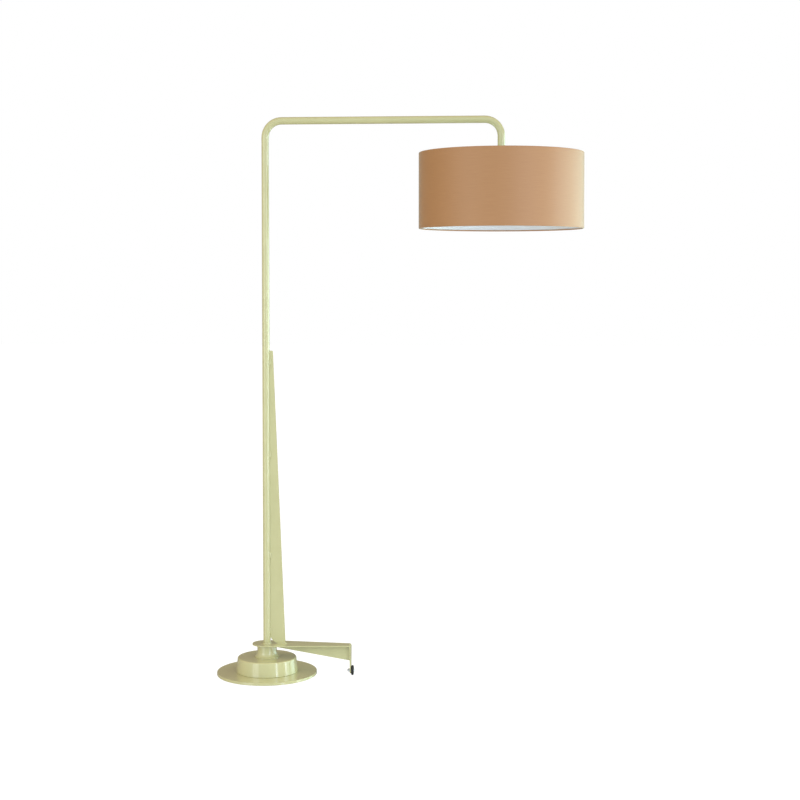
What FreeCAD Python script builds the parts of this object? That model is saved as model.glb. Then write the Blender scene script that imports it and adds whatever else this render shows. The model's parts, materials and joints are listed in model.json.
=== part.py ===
"""Swivelling crane floor lamp: a bent tube mast on a wheeled outrigger, with a drum shade.

Millimetres. The origin is on the floor, on the swivel's vertical axis. The arm runs along +X and +Z is up.
"""
import FreeCAD, Part
import math
import os

V = FreeCAD.Vector
UP = V(0, 0, 1)
ALONG_X = V(1, 0, 0)
ALONG_Y = V(0, 1, 0)

# Whole lamp
overall_height = 2060.0
reach = 865.0               # swivel axis to shade axis
running = 0.05              # radial clearance of a shaft that turns in a hole
end_play = 0.1              # clearance between faces that slide on each other

# Bent tube
tube_radius = 13.45
tube_wall = 2.0
tube_bend = 60.0            # to the tube's centre line
tube_end = 1890.0           # height of the down-turned end, inside the shade
arm_height = overall_height - tube_radius
tube_bore = tube_radius - tube_wall

# Base
pad_radius = 176.0
pad_thickness = 2.0
disc_radius = 185.0
disc_thickness = 10.0
disc_edge = 1.2
pad_recess = 1.0
disc_bottom = pad_thickness - pad_recess
disc_top = disc_bottom + disc_thickness
drum_top = 64.5
drum_top_radius = 108.5
drum_foot_radius = 114.5
drum_top_edge = 5.0
drum_foot_edge = 1.5
cover_thickness = 2.0
weight_radius = 103.0
weight_top = drum_top - cover_thickness
weight_edge = 4.0
chamber_radius = 20.0       # round the spindle nut
bay_half_width = 16.0       # wiring bay, from the spindle out to the back
bay_top = 31.0
access_half_width = 14.0
access_reach = 74.0
access_radius = 19.0
access_lip = 2.5
access_plate_end = 84.0     # the plate runs on past the opening, to its screws
access_plate_thickness = 1.2
plate_screw_radius = 1.5
plate_screw_head = 2.7
plate_screw_spacing = 18.0
plate_screw_inset = 5.0
plate_screw_length = 7.0
clamp_screw_radius = 3.0
clamp_screw_circle = 28.0
clamp_screw_angles = (30, 150, 270)
clamp_screw_top = 61.0
clamp_head_radius = 6.0
clamp_head_height = 3.0

# Collar and its bearings
collar_top = 108.5
collar_radius = 36.0
collar_foot_radius = 45.5
collar_flare = 20.0
collar_flare_start = 85.0
spigot_radius = 35.0
spigot_bottom = 50.0
bush_radius = 17.5
bush_length = 20.0
bush_flange_radius = 19.5
bush_flange = 2.0
collar_relief = 21.0
washer_thickness = 1.4
washer_radius = 33.0
stop_height = 79.0
stop_screw_radius = 2.5
stop_screw_tip = 16.5
stop_dowel_radius = 2.0
stop_dowel_tip = 19.5

# Spindle
spindle_radius = 14.0
spindle_thread = 10.0
spindle_bore = 5.5
spindle_bottom = 35.0
spindle_plug = tube_bore - running
spindle_plug_top = 150.0
nut_across_flats = 30.0
nut_height = 7.0
retainer_radius = 18.0
retainer_thickness = 3.0

# Outrigger
plate_thickness = 4.0
plate_bottom = collar_top + washer_thickness + end_play
plate_top = plate_bottom + plate_thickness
plate_end_radius = 50.0
plate_end_centre = -4.0
leg_face = 314.5            # outer face of the folded leg
fold_radius = 8.0           # outside of the fold
leg_end_radius = 12.0
axle_height = 18.5
web_thickness = 4.0
web_start = 39.0
web_start_bottom = 99.5
web_end_bottom = 54.5
web_corner = 7.0

# Fin beside the mast
fin_thickness = 5.0
fin_top = 1203.5
fin_top_width = 25.7        # from the mast's axis
fin_foot_width = 69.3
fin_corner = 5.0
fin_chamfer_width = 39.0
fin_chamfer_height = 24.0
stitch_heights = (161.0, 444.0, 818.0, 1160.0)
stitch_length = 26.0
bead_radius = 4.0
fillet_leg = 4.5
web_fillet = 3.0

# Wheel
wheel_radius = 18.5
tyre_width = 8.0
tyre_edge = 3.4
hub_radius = 12.5
hub_width = 8.2
sleeve_radius = 5.0
sleeve_length = 8.5
axle_radius = 3.0
axle_washer_radius = 6.0
axle_washer_thickness = 1.0
bolt_head_radius = 5.25
bolt_head_height = 3.0
cap_nut_flats = 10.0
cap_nut_hex = 5.0
cap_nut_dome = 4.7
wheel_inner_face = leg_face + axle_washer_thickness

# Leads and cord inlet
lead_radius = 3.0
lead_level = 20.2
lead_bend = 12.0
lead_gap = 0.3              # between the two leads' ends, on the swivel axis
terminal_start = 40.0
terminal_length = 20.0
terminal_half_width = 12.0
terminal_bottom = 15.0
terminal_pitch = 8.0
cord_bore = 3.6
grommet_radius = 6.5
grommet_flange = 9.0
grommet_inner = 108.5
grommet_outer = 117.0

# Lamp holder and bulb
nipple_radius = 5.0
nipple_bottom = 1878.0
nipple_top = 1902.0
plug_length = 14.0
cap_bottom = 1848.0
cap_radius = 21.5
cap_shoulder = 1866.0
cap_neck_radius = 8.0
cap_wall = 1.5
sleeve_bottom = 1812.0
holder_radius = 19.7
holder_wall = 2.0
ring_nut_radius = 26.0
ring_nut_height = 8.0
core_radius = 17.0
core_bottom = 1816.0
core_top = 1856.0
core_web = 8.0
shell_radius = 14.2
shell_inner = 13.6
shell_bottom = 1820.0
bulb_cap_radius = 13.3
bulb_cap_top = 1845.5
bulb_cap_bottom = 1821.0
bulb_radius = 30.0
bulb_centre = 1766.0
bulb_joint = 1778.0         # where the opal dome meets the plastic collar
bulb_wall = 1.2

# Shade
shade_radius = 300.0
shade_top = 1925.0
shade_bottom = 1650.0
fabric = 0.7
lining = 0.5
ring_wire = 1.5             # radius of the shade's wire
arm_wire = 1.5
carrier_thickness = 2.0
carrier_hole = 20.0
carrier_radius = 27.0
carrier_arm_start = 25.0
carrier_angles = (60, 180, 300)
lining_short = 1.2          # the lining stops this far from each wire's centre
hem_slack = 0.05            # between the wire and the fabric rolled round it
roll_sides = 18             # flats that stand for the fabric's round roll
roll_radius = ring_wire + fabric
ring_radius = shade_radius - roll_radius
top_ring_height = shade_top - roll_radius
bottom_ring_height = shade_bottom + roll_radius


# ---- helpers ----

def ring(outer, inner, low, high, x=0.0):
    """An upright tube between two heights."""
    body = Part.makeCylinder(outer, high - low, V(x, 0, low))
    return body.cut(Part.makeCylinder(inner, high - low, V(x, 0, low)))


def ring_along_x(outer, inner, near, far):
    """A tube along X, round the wheel's axle."""
    start = V(near, 0, axle_height)
    body = Part.makeCylinder(outer, far - near, start, ALONG_X)
    return body.cut(Part.makeCylinder(inner, far - near, start, ALONG_X))


def outline(start, *steps):
    """A face inside a closed outline: a step is an end point, or a middle and an end point for an arc."""
    edges = []
    here = start
    for step in steps + ((start,),):
        if len(step) == 2:
            edges.append(Part.Arc(here, step[0], step[1]).toShape())
        elif (step[0] - here).Length > 1e-6:
            edges.append(Part.LineSegment(here, step[0]).toShape())
        here = step[-1]
    return Part.Face(Part.Wire(edges))


def turned(x, *radius_and_height):
    """A solid turned about the upright axis at x, from corners given as radius and height."""
    points = [V(x + radius, 0, height) for radius, height in radius_and_height]
    face = Part.Face(Part.makePolygon(points + points[:1]))
    return face.revolve(V(x, 0, 0), UP, 360)


def level_edges(shape, height):
    """The edges that lie flat at one height."""
    return [edge for edge in shape.Edges
            if edge.BoundBox.ZLength < 0.01 and abs(edge.BoundBox.ZMin - height) < 0.01]


def hexagon(across_flats, low, high):
    """An upright hexagonal bar on the swivel axis."""
    corner = across_flats / math.sqrt(3)
    points = [V(corner * math.cos(math.radians(60 * k)), corner * math.sin(math.radians(60 * k)), low)
              for k in range(6)]
    return Part.Face(Part.makePolygon(points + points[:1])).extrude(V(0, 0, high - low))


def route(points, bend):
    """Straight runs between the points, with every corner rounded to the bend radius."""
    edges = []
    start = points[0]
    for before, corner, after in zip(points, points[1:], points[2:]):
        arriving = (corner - before).normalize()
        leaving = (after - corner).normalize()
        half_turn = arriving.getAngle(leaving) / 2
        setback = bend * math.tan(half_turn)
        inward = (leaving - arriving).normalize()
        enter = corner - arriving * setback
        middle = corner + inward * (bend / math.cos(half_turn) - bend)
        leave = corner + leaving * setback
        edges.append(Part.LineSegment(start, enter).toShape())
        edges.append(Part.Arc(enter, middle, leave).toShape())
        start = leave
    edges.append(Part.LineSegment(start, points[-1]).toShape())
    return Part.Wire(edges)


def rod(points, bend, radius):
    """A round bar that follows a route."""
    path = route(points, bend)
    end = Part.Wire(Part.makeCircle(radius, points[0], points[1] - points[0]))
    return path.makePipeShell([end], True, False)


def straight_rod(start, end, radius):
    return Part.makeCylinder(radius, (end - start).Length, start, end - start)


def on_circle(radius, degrees, height):
    angle = math.radians(degrees)
    return V(radius * math.cos(angle), radius * math.sin(angle), height)


# ---- base ----

def floor_pad():
    return Part.makeCylinder(pad_radius, pad_thickness)


def access_shape(margin, end, low, high):
    """A round hole under the spindle nut with a slot to one side, under the terminals."""
    half_width = access_half_width + margin
    slot = Part.makeBox(2 * half_width, end, high - low, V(-half_width, 0, low))
    return slot.fuse(Part.makeCylinder(access_radius + margin, high - low, V(0, 0, low)))


def clamp_holes(radius, low, high):
    return [Part.makeCylinder(radius, high - low, on_circle(clamp_screw_circle, angle, low))
            for angle in clamp_screw_angles]


def base_disc():
    disc = Part.makeCylinder(disc_radius, disc_thickness, V(0, 0, disc_bottom))
    disc = disc.makeFillet(disc_edge, level_edges(disc, disc_top) + level_edges(disc, disc_bottom))
    disc = disc.cut(Part.makeCylinder(pad_radius + 2, pad_recess, V(0, 0, disc_bottom)))
    disc = disc.cut(access_shape(0, access_reach, disc_bottom, disc_top))
    disc = disc.cut(access_shape(access_lip, access_plate_end, pad_thickness,
                                 pad_thickness + access_plate_thickness))
    disc = disc.cut([plate_screw(place) for place in plate_screw_places()])
    disc = disc.cut(clamp_holes(clamp_screw_radius + 0.3, disc_bottom, disc_top))
    return disc.cut([clamp_head(angle, 0.2) for angle in clamp_screw_angles])


def access_plate():
    plate = access_shape(access_lip - 0.1, access_plate_end - 0.1, pad_thickness,
                         pad_thickness + access_plate_thickness)
    return plate.removeSplitter().cut([plate_screw(place) for place in plate_screw_places()])


def plate_screw_places():
    return [V(side * plate_screw_spacing / 2, access_plate_end - plate_screw_inset, pad_thickness)
            for side in (-1, 1)]


def plate_screw(place):
    """A small countersunk screw, head down."""
    head = Part.makeCone(plate_screw_head, plate_screw_radius, access_plate_thickness, place)
    return Part.makeCylinder(plate_screw_radius, plate_screw_length, place).fuse(head).removeSplitter()


def plate_screws():
    return Part.Compound([plate_screw(place) for place in plate_screw_places()])


def clamp_head(angle, margin):
    return Part.makeCone(clamp_head_radius + margin, clamp_screw_radius + margin, clamp_head_height,
                         on_circle(clamp_screw_circle, angle, pad_thickness))


def base_screws():
    """Three countersunk screws from under the disc up into the collar, each with a hexagon socket."""
    screws = []
    for angle in clamp_screw_angles:
        foot = on_circle(clamp_screw_circle, angle, pad_thickness)
        shank = Part.makeCylinder(clamp_screw_radius, clamp_screw_top - pad_thickness, foot)
        socket = hexagon(4.0, 0, 2.0)
        socket.translate(foot)
        screws.append(shank.fuse(clamp_head(angle, 0)).removeSplitter().cut(socket))
    return Part.Compound(screws)


def base_weight():
    block = Part.makeCylinder(weight_radius, weight_top - disc_top, V(0, 0, disc_top))
    block = block.makeChamfer(weight_edge, level_edges(block, weight_top))
    block = block.cut(Part.makeCylinder(chamber_radius, spigot_bottom - disc_top, V(0, 0, disc_top)))
    block = block.cut(Part.makeCylinder(spigot_radius + 0.3, drum_top - spigot_bottom, V(0, 0, spigot_bottom)))
    bay = Part.makeBox(2 * bay_half_width, weight_radius + 1, bay_top - disc_top,
                       V(-bay_half_width, 0, disc_top))
    block = block.cut(bay)
    return block.cut(clamp_holes(clamp_screw_radius + 0.3, disc_top, spigot_bottom))


def drum_shape(inset):
    """The drum's outside, or its inside when it is inset by the cover's thickness."""
    drum = Part.makeCone(drum_foot_radius - inset, drum_top_radius - inset, drum_top - inset - disc_top,
                         V(0, 0, disc_top))
    return drum.makeFillet(drum_top_edge - inset, level_edges(drum, drum_top - inset))


def drum_cover():
    outside = drum_shape(0)
    outside = outside.makeFillet(drum_foot_edge, level_edges(outside, disc_top))
    cover = outside.cut(drum_shape(cover_thickness))
    cover = cover.cut(Part.makeCylinder(spigot_radius + 0.2, drum_top, V(0, 0, disc_top)))
    hole = Part.makeCylinder(grommet_radius, weight_radius, V(0, chamber_radius, lead_level), ALONG_Y)
    return cover.cut(hole)


def pivot_collar():
    """Turned collar: flared foot, bearing bores at both ends, a relief between them for the stop."""
    flare_centre = collar_radius + collar_flare
    rim_depth = math.sqrt(collar_flare ** 2 - (flare_centre - collar_foot_radius) ** 2)
    half = math.radians(22)
    flare_middle = V(flare_centre - collar_flare * math.cos(half), 0,
                     collar_flare_start - collar_flare * math.sin(half))
    profile = outline(
        V(bush_radius, 0, spigot_bottom),
        (V(spigot_radius, 0, spigot_bottom),),
        (V(spigot_radius, 0, drum_top),),
        (V(collar_foot_radius - 0.6, 0, drum_top),),
        (V(collar_foot_radius, 0, drum_top + 0.6),),
        (V(collar_foot_radius, 0, collar_flare_start - rim_depth),),
        (flare_middle, V(collar_radius, 0, collar_flare_start)),
        (V(collar_radius, 0, collar_top - 1),),
        (V(collar_radius - 1, 0, collar_top),),
        (V(bush_radius, 0, collar_top),),
        (V(bush_radius, 0, collar_top - bush_length),),
        (V(collar_relief, 0, collar_top - bush_length),),
        (V(collar_relief, 0, spigot_bottom + bush_length),),
        (V(bush_radius, 0, spigot_bottom + bush_length),))
    collar = profile.revolve(V(0, 0, 0), UP, 360)
    collar = collar.cut(clamp_holes(clamp_screw_radius, spigot_bottom, clamp_screw_top + 1))
    stop_hole = Part.makeCylinder(stop_screw_radius, collar_radius, V(0, bush_radius, stop_height), ALONG_Y)
    return collar.cut(stop_hole)


def upper_bush():
    return ring(bush_radius, spindle_radius + running, collar_top - bush_length, collar_top)


def lower_bush():
    tube = ring(bush_radius, spindle_radius + running, spigot_bottom, spigot_bottom + bush_length)
    flange = ring(bush_flange_radius, spindle_radius + running, spigot_bottom - bush_flange, spigot_bottom)
    return tube.fuse(flange).removeSplitter()


def thrust_washer():
    return ring(washer_radius, spindle_radius + 0.3, collar_top, collar_top + washer_thickness)


def stop_screw():
    """Headless screw at the back of the collar; its tip reaches into the relief."""
    screw = Part.makeCylinder(stop_screw_radius, collar_radius - 1 - stop_screw_tip,
                              V(0, stop_screw_tip, stop_height), ALONG_Y)
    socket = hexagon(2.5, 0, 2.5)
    socket.rotate(V(0, 0, 0), ALONG_X, 90)
    socket.translate(V(0, collar_radius - 1, stop_height))
    return screw.cut(socket)


def cord_grommet():
    """Rubber grommet in the drum's back wall, with a groove that the wall fits."""
    length = grommet_outer - grommet_inner
    start = V(0, grommet_inner, lead_level)
    body = Part.makeCylinder(grommet_flange, length, start, ALONG_Y)
    body = body.makeFillet(1.5, [edge for edge in body.Edges
                                 if edge.BoundBox.YLength < 0.01 and edge.BoundBox.YMin > start.y])
    body = body.cut(drum_cover())
    body = body.cut(Part.makeCylinder(cord_bore, length, start, ALONG_Y))
    return body


def terminal_block():
    block = Part.makeBox(2 * terminal_half_width, terminal_length, bay_top - terminal_bottom,
                         V(-terminal_half_width, terminal_start, terminal_bottom))
    return block.cut(terminal_holes(2.2))


def terminal_holes(radius):
    """The screw holes, two for each of three poles, open downwards."""
    holes = []
    for pole in (-1, 0, 1):
        for side in (-1, 1):
            place = V(pole * terminal_pitch, terminal_start + terminal_length / 2 + side * 5, terminal_bottom)
            holes.append(Part.makeCylinder(radius, 8.0, place))
    return holes


def terminal_screws():
    return Part.Compound([hole.cut(slot_for(hole)) for hole in terminal_holes(1.9)])


def slot_for(screw):
    centre = screw.BoundBox.Center
    return Part.makeBox(4.0, 0.6, 1.0, V(centre.x - 2, centre.y - 0.3, screw.BoundBox.ZMin))


def base_lead():
    """From the swivel axis, just below the spindle, round into the terminals."""
    top = V(0, 0, spindle_bottom - 0.5 - lead_gap)
    return rod([top, V(0, 0, lead_level), V(0, terminal_start, lead_level)], lead_bend, lead_radius)


# ---- mast and outrigger ----

def tube_route(low, end):
    return [V(0, 0, low), V(0, 0, arm_height), V(reach, 0, arm_height), V(reach, 0, end)]


def mast_tube():
    outside = rod(tube_route(plate_top, tube_end), tube_bend, tube_radius)
    return outside.cut(rod(tube_route(plate_top, tube_end), tube_bend, tube_bore))


def mast_lead():
    return rod(tube_route(spindle_bottom - 0.5, core_top + 2), tube_bend, lead_radius)


def mast_fin():
    """Tapered plate on edge beside the mast; its foot is cut back to clear the weld at the mast's foot."""
    side = -fin_thickness / 2
    slope = (fin_foot_width - fin_top_width) / (fin_top - plate_top)
    chamfer_top = plate_top + fin_chamfer_height
    bulge = 2.0
    middle = V((tube_radius + fin_chamfer_width) / 2 - bulge, side, (plate_top + chamfer_top) / 2 - bulge)
    face = outline(
        V(fin_chamfer_width, side, plate_top),
        (V(fin_foot_width, side, plate_top),),
        (V(fin_top_width + slope * fin_corner, side, fin_top - fin_corner),),
        (V(fin_top_width - fin_corner * 0.28, side, fin_top - fin_corner * 0.28),
         V(fin_top_width - fin_corner, side, fin_top)),
        (V(tube_radius - 1, side, fin_top),),
        (V(tube_radius - 1, side, chamfer_top),),
        (middle, V(fin_chamfer_width, side, plate_top)))
    return face.extrude(V(0, fin_thickness, 0)).cut(tube_space())


def tube_space():
    return Part.makeCylinder(tube_radius, fin_top, V(0, 0, plate_top))


def fin_welds():
    """Short beads in the corner between tube and fin, on both sides."""
    fin = mast_fin()
    beads = []
    for height in stitch_heights:
        for side in (-1, 1):
            low = V(tube_radius + 1.2, side * 3.2, height - stitch_length / 2)
            bead = Part.makeCylinder(bead_radius, stitch_length, low)
            ends = level_edges(bead, low.z) + level_edges(bead, low.z + stitch_length)
            beads.append(bead.makeFillet(bead_radius * 0.8, ends).cut([tube_space(), fin]))
    return Part.Compound(beads)


def foot_weld():
    return turned(0, (tube_radius, plate_top), (tube_radius + fillet_leg, plate_top),
                  (tube_radius + fillet_leg * 0.45, plate_top + fillet_leg * 0.45),
                  (tube_radius, plate_top + fillet_leg))


def fin_foot_weld():
    """Fillet round the fin's foot, as a tapered band with the fin cut out of it."""
    length = fin_foot_width - fin_chamfer_width
    rows = []
    for grow, height in ((fillet_leg, plate_top), (0.6, plate_top + fillet_leg)):
        half = fin_thickness / 2 + grow
        near = fin_chamfer_width
        far = near + length + grow
        points = [V(near, -half, height), V(far - half / 2, -half, height), V(far, -half / 2, height),
                  V(far, half / 2, height), V(far - half / 2, half, height), V(near, half, height)]
        rows.append(Part.makePolygon(points + points[:1]))
    return Part.makeLoft(rows, True, True).cut(mast_fin())


def plate_taper():
    """Sine and cosine of the angle between the outrigger's centre line and its edge, in the flat."""
    fold_length = (fold_radius - 0.55 * plate_thickness) * math.pi / 2
    to_fold = leg_face - fold_radius - plate_end_centre
    to_axle = plate_top - fold_radius - axle_height
    sine = (plate_end_radius - leg_end_radius) / (to_fold + fold_length + to_axle)
    return sine, math.sqrt(1 - sine ** 2), to_fold + fold_length


def outrigger_plate():
    """Folded strip: the fold's side view, trimmed to the teardrop seen from above and from the end."""
    sine, cosine, to_leg = plate_taper()
    turn = fold_radius * (1 - math.sqrt(0.5))
    inner = fold_radius - plate_thickness
    inner_turn = inner * (1 - math.sqrt(0.5))
    inside = leg_face - plate_thickness
    width = plate_end_radius + 5
    low = axle_height - leg_end_radius
    left = plate_end_centre - plate_end_radius
    strip = outline(
        V(left, -width, plate_top),
        (V(leg_face - fold_radius, -width, plate_top),),
        (V(leg_face - turn, -width, plate_top - turn), V(leg_face, -width, plate_top - fold_radius)),
        (V(leg_face, -width, low),),
        (V(inside, -width, low),),
        (V(inside, -width, plate_bottom - inner),),
        (V(inside - inner_turn, -width, plate_bottom - inner_turn), V(inside - inner, -width, plate_bottom)),
        (V(left, -width, plate_bottom),))
    strip = strip.extrude(V(0, 2 * width, 0))

    start = plate_end_centre + plate_end_radius * sine
    start_width = plate_end_radius * cosine
    end_width = (plate_end_radius - (leg_face + 1 - plate_end_centre) * sine) / cosine
    above = outline(
        V(start, start_width, 0),
        (V(left, 0, 0), V(start, -start_width, 0)),
        (V(leg_face + 1, -end_width, 0),),
        (V(leg_face + 1, end_width, 0),))
    above = above.extrude(V(0, 0, plate_top + 1))

    leg_top = plate_top + 1
    top_width = (plate_end_radius - (to_leg + plate_top - fold_radius - leg_top) * sine) / cosine
    foot_width = leg_end_radius * cosine
    foot = axle_height - leg_end_radius * sine
    end = outline(
        V(left, -top_width, leg_top),
        (V(left, -foot_width, foot),),
        (V(left, 0, low), V(left, foot_width, foot)),
        (V(left, top_width, leg_top),))
    leg_zone = Part.makeBox(2 * fold_radius, 2 * width, leg_top, V(leg_face - fold_radius, -width, 0))
    end = end.extrude(V(leg_face - left + 1, 0, 0))
    beyond_leg = leg_zone.cut(end)

    plate = strip.common(above).cut(beyond_leg)
    plate = plate.cut(Part.makeCylinder(spindle_plug + running, plate_top, V(0, 0, 0)))
    return plate.cut(Part.makeCylinder(axle_radius + 0.1, leg_face, V(leg_face / 2, 0, axle_height), ALONG_X))


def outrigger_web():
    side = -web_thickness / 2
    inside = leg_face - plate_thickness
    face = outline(
        V(web_start, side, plate_bottom),
        (V(inside - web_corner, side, plate_bottom),),
        (V(inside, side, plate_bottom - web_corner),),
        (V(inside, side, web_end_bottom),),
        (V(web_start, side, web_start_bottom),))
    return face.extrude(V(0, web_thickness, 0))


def web_welds():
    """Fillets between web and plate, and between web and leg, on both sides."""
    inside = leg_face - plate_thickness
    fillets = []
    for side in (-1, 1):
        near = side * web_thickness / 2
        out = near + side * web_fillet
        for start in (60.0, 160.0, 260.0):
            corner = V(start, near, plate_bottom)
            points = [corner, V(start, out, plate_bottom), V(start, near, plate_bottom - web_fillet)]
            fillets.append(Part.Face(Part.makePolygon(points + points[:1])).extrude(V(30, 0, 0)))
        points = [V(inside, near, 60), V(inside, out, 60), V(inside - web_fillet, near, 60)]
        fillets.append(Part.Face(Part.makePolygon(points + points[:1])).extrude(V(0, 0, 35)))
    return Part.Compound(fillets)


def pivot_spindle():
    shoulder = spigot_bottom - bush_flange - end_play
    spindle = turned(
        0, (spindle_bore, spindle_bottom), (spindle_thread - 1, spindle_bottom),
        (spindle_thread, spindle_bottom + 1), (spindle_thread, shoulder), (spindle_radius, shoulder),
        (spindle_radius, plate_bottom), (spindle_plug, plate_bottom), (spindle_plug, spindle_plug_top - 1.5),
        (spindle_plug - 1.5, spindle_plug_top), (spindle_bore, spindle_plug_top))
    return spindle.cut(stop_dowel())


def stop_dowel():
    """Radial pin in the spindle; it meets the stop screw at each end of the swing."""
    inner_end = spindle_bore + 2
    foot = V(0, -inner_end, stop_height)
    return Part.makeCylinder(stop_dowel_radius, stop_dowel_tip - inner_end, foot, -ALONG_Y)


def spindle_washer():
    top = spigot_bottom - bush_flange - end_play
    return ring(retainer_radius, spindle_thread, top - retainer_thickness, top)


def spindle_nut():
    top = spigot_bottom - bush_flange - end_play - retainer_thickness
    nut = hexagon(nut_across_flats, top - nut_height, top)
    return nut.cut(Part.makeCylinder(spindle_thread, nut_height, V(0, 0, top - nut_height)))


# ---- wheel and axle ----

def wheel_tyre():
    middle = wheel_inner_face + sleeve_length / 2
    tyre = ring_along_x(wheel_radius, hub_radius, middle - tyre_width / 2, middle + tyre_width / 2)
    shoulders = [edge for edge in tyre.Edges
                 if edge.BoundBox.XLength < 0.01 and edge.BoundBox.ZLength > 2 * hub_radius + 1]
    return tyre.makeFillet(tyre_edge, shoulders)


def wheel_hub():
    """Moulded centre: rim, thin web and bearing barrel."""
    middle = wheel_inner_face + sleeve_length / 2
    hub = ring_along_x(hub_radius, sleeve_radius + running, middle - hub_width / 2, middle + hub_width / 2)
    for side in (-1, 1):
        face = middle + side * hub_width / 2
        near = min(face, face - side * 1.6)
        hub = hub.cut(ring_along_x(hub_radius - 1.8, sleeve_radius + 2.2, near, near + 1.6))
    return hub


def axle_sleeve():
    return ring_along_x(sleeve_radius, axle_radius + 0.05, wheel_inner_face, wheel_inner_face + sleeve_length)


def axle_washers():
    inside = leg_face - plate_thickness
    outer = ring_along_x(axle_washer_radius, axle_radius + 0.2, leg_face, wheel_inner_face)
    inner = ring_along_x(axle_washer_radius, axle_radius + 0.2, inside - axle_washer_thickness, inside)
    return Part.Compound([outer, inner])


def axle_bolt():
    """Button-head bolt through the sleeve and the leg."""
    head_face = wheel_inner_face + sleeve_length
    start = leg_face - plate_thickness - axle_washer_thickness - cap_nut_hex
    shank = Part.makeCylinder(axle_radius, head_face - start, V(start, 0, axle_height), ALONG_X)
    head = Part.makeCylinder(bolt_head_radius, bolt_head_height, V(head_face, 0, axle_height), ALONG_X)
    head = head.makeFillet(2.2, [edge for edge in head.Edges
                                 if edge.BoundBox.XLength < 0.01 and edge.BoundBox.XMin > head_face + 1])
    socket = hexagon(4.0, 0, 1.8)
    socket.rotate(V(0, 0, 0), ALONG_Y, -90)
    socket.translate(V(head_face + bolt_head_height, 0, axle_height))
    return shank.fuse(head).removeSplitter().cut(socket)


def axle_nut():
    """Domed cap nut on the inner side of the leg."""
    face = leg_face - plate_thickness - axle_washer_thickness
    nut = hexagon(cap_nut_flats, 0, cap_nut_hex)
    nut.rotate(V(0, 0, 0), ALONG_Y, -90)
    nut.translate(V(face, 0, axle_height))
    dome = Part.makeSphere(cap_nut_dome, V(face - cap_nut_hex, 0, axle_height))
    nut = nut.fuse(dome)
    return nut.cut(Part.makeCylinder(axle_radius, cap_nut_hex, V(face - cap_nut_hex, 0, axle_height), ALONG_X))


# ---- lamp holder and bulb ----

def tube_plug():
    return ring(tube_bore, nipple_radius, tube_end, tube_end + plug_length, reach)


def holder_nipple():
    return ring(nipple_radius, lead_radius + 0.6, nipple_bottom, nipple_top, reach)


def holder_cap():
    """Domed cap with the nipple's hole in its top."""
    neck = tube_end - 2
    return turned(
        reach, (nipple_radius, neck), (cap_neck_radius, neck), (cap_neck_radius + 4, neck - 4),
        (cap_radius - 3, cap_shoulder + 5), (cap_radius, cap_shoulder), (cap_radius, cap_bottom),
        (cap_radius - cap_wall, cap_bottom), (cap_radius - cap_wall, cap_shoulder - 1),
        (cap_radius - cap_wall - 3, cap_shoulder + 4), (cap_neck_radius + 3, neck - 6.5),
        (nipple_radius, neck - 6.5))


def holder_sleeve():
    return ring(holder_radius, holder_radius - holder_wall, sleeve_bottom, cap_bottom + 10, reach)


def shade_ring_nut():
    top = cap_bottom - carrier_thickness
    return ring(ring_nut_radius, holder_radius, top - ring_nut_height, top, reach)


def holder_core():
    core = Part.makeCylinder(core_radius, core_top - core_bottom, V(reach, 0, core_bottom))
    depth = core_top - core_web - core_bottom
    core = core.cut(Part.makeCylinder(shell_radius, depth, V(reach, 0, core_bottom)))
    return core.cut(Part.makeCylinder(lead_radius + 0.2, core_web, V(reach, 0, core_top - core_web)))


def holder_contacts():
    """Threaded brass shell and the centre contact."""
    shell = ring(shell_radius, shell_inner, shell_bottom, core_top - core_web - 1, reach)
    tongue = Part.makeCylinder(4.0, 1.5, V(reach, 0, core_top - core_web - 1.5))
    return Part.Compound([shell, tongue])


def bulb_cap():
    """Screw cap: a barrel with thread ridges and a contact button."""
    corners = [(0.0, bulb_cap_bottom), (bulb_cap_radius - 0.5, bulb_cap_bottom)]
    pitch = 3.6
    for turn in range(5):
        foot = bulb_cap_bottom + 2.0 + turn * pitch
        corners.append((bulb_cap_radius - 0.9, foot))
        corners.append((bulb_cap_radius, foot + pitch / 2))
    corners.append((bulb_cap_radius - 1.5, bulb_cap_top - 3.5))
    corners.append((5.0, bulb_cap_top - 0.8))
    corners.append((0.0, bulb_cap_top - 0.8))
    return turned(reach, *corners)


def bulb_collar():
    """Plastic cone between the screw cap and the opal dome."""
    joint_radius = math.sqrt(bulb_radius ** 2 - (bulb_joint - bulb_centre) ** 2)
    return turned(reach, (0.0, bulb_joint), (joint_radius, bulb_joint), (joint_radius - 1.5, bulb_joint + 14),
                  (bulb_cap_radius + 3, bulb_cap_bottom - 12), (bulb_cap_radius, core_bottom - 1),
                  (bulb_cap_radius - 0.5, bulb_cap_bottom), (0.0, bulb_cap_bottom))


def bulb_glass():
    place = V(reach, 0, bulb_centre)
    dome = Part.makeSphere(bulb_radius, place).cut(Part.makeSphere(bulb_radius - bulb_wall, place))
    above = Part.makeBox(4 * bulb_radius, 4 * bulb_radius, bulb_radius,
                         V(reach - 2 * bulb_radius, -2 * bulb_radius, bulb_joint))
    return dome.cut(above)


# ---- shade ----

def wire_ring(height):
    return Part.makeTorus(ring_radius, ring_wire, V(reach, 0, height))


def shade_carrier():
    """Top wire ring, three sloping arms, and the flat ring that the lamp holder clamps."""
    flat = cap_bottom - carrier_thickness
    carrier = ring(carrier_radius, carrier_hole, flat, cap_bottom, reach)
    centre = V(reach, 0, 0)
    for angle in carrier_angles:
        inner = centre + on_circle(carrier_arm_start, angle, flat + arm_wire + 0.5)
        outer = centre + on_circle(ring_radius, angle, top_ring_height)
        carrier = carrier.fuse(straight_rod(inner, outer, arm_wire))
    return carrier.fuse(wire_ring(top_ring_height))


def shade_bottom_ring():
    return wire_ring(bottom_ring_height)


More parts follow.
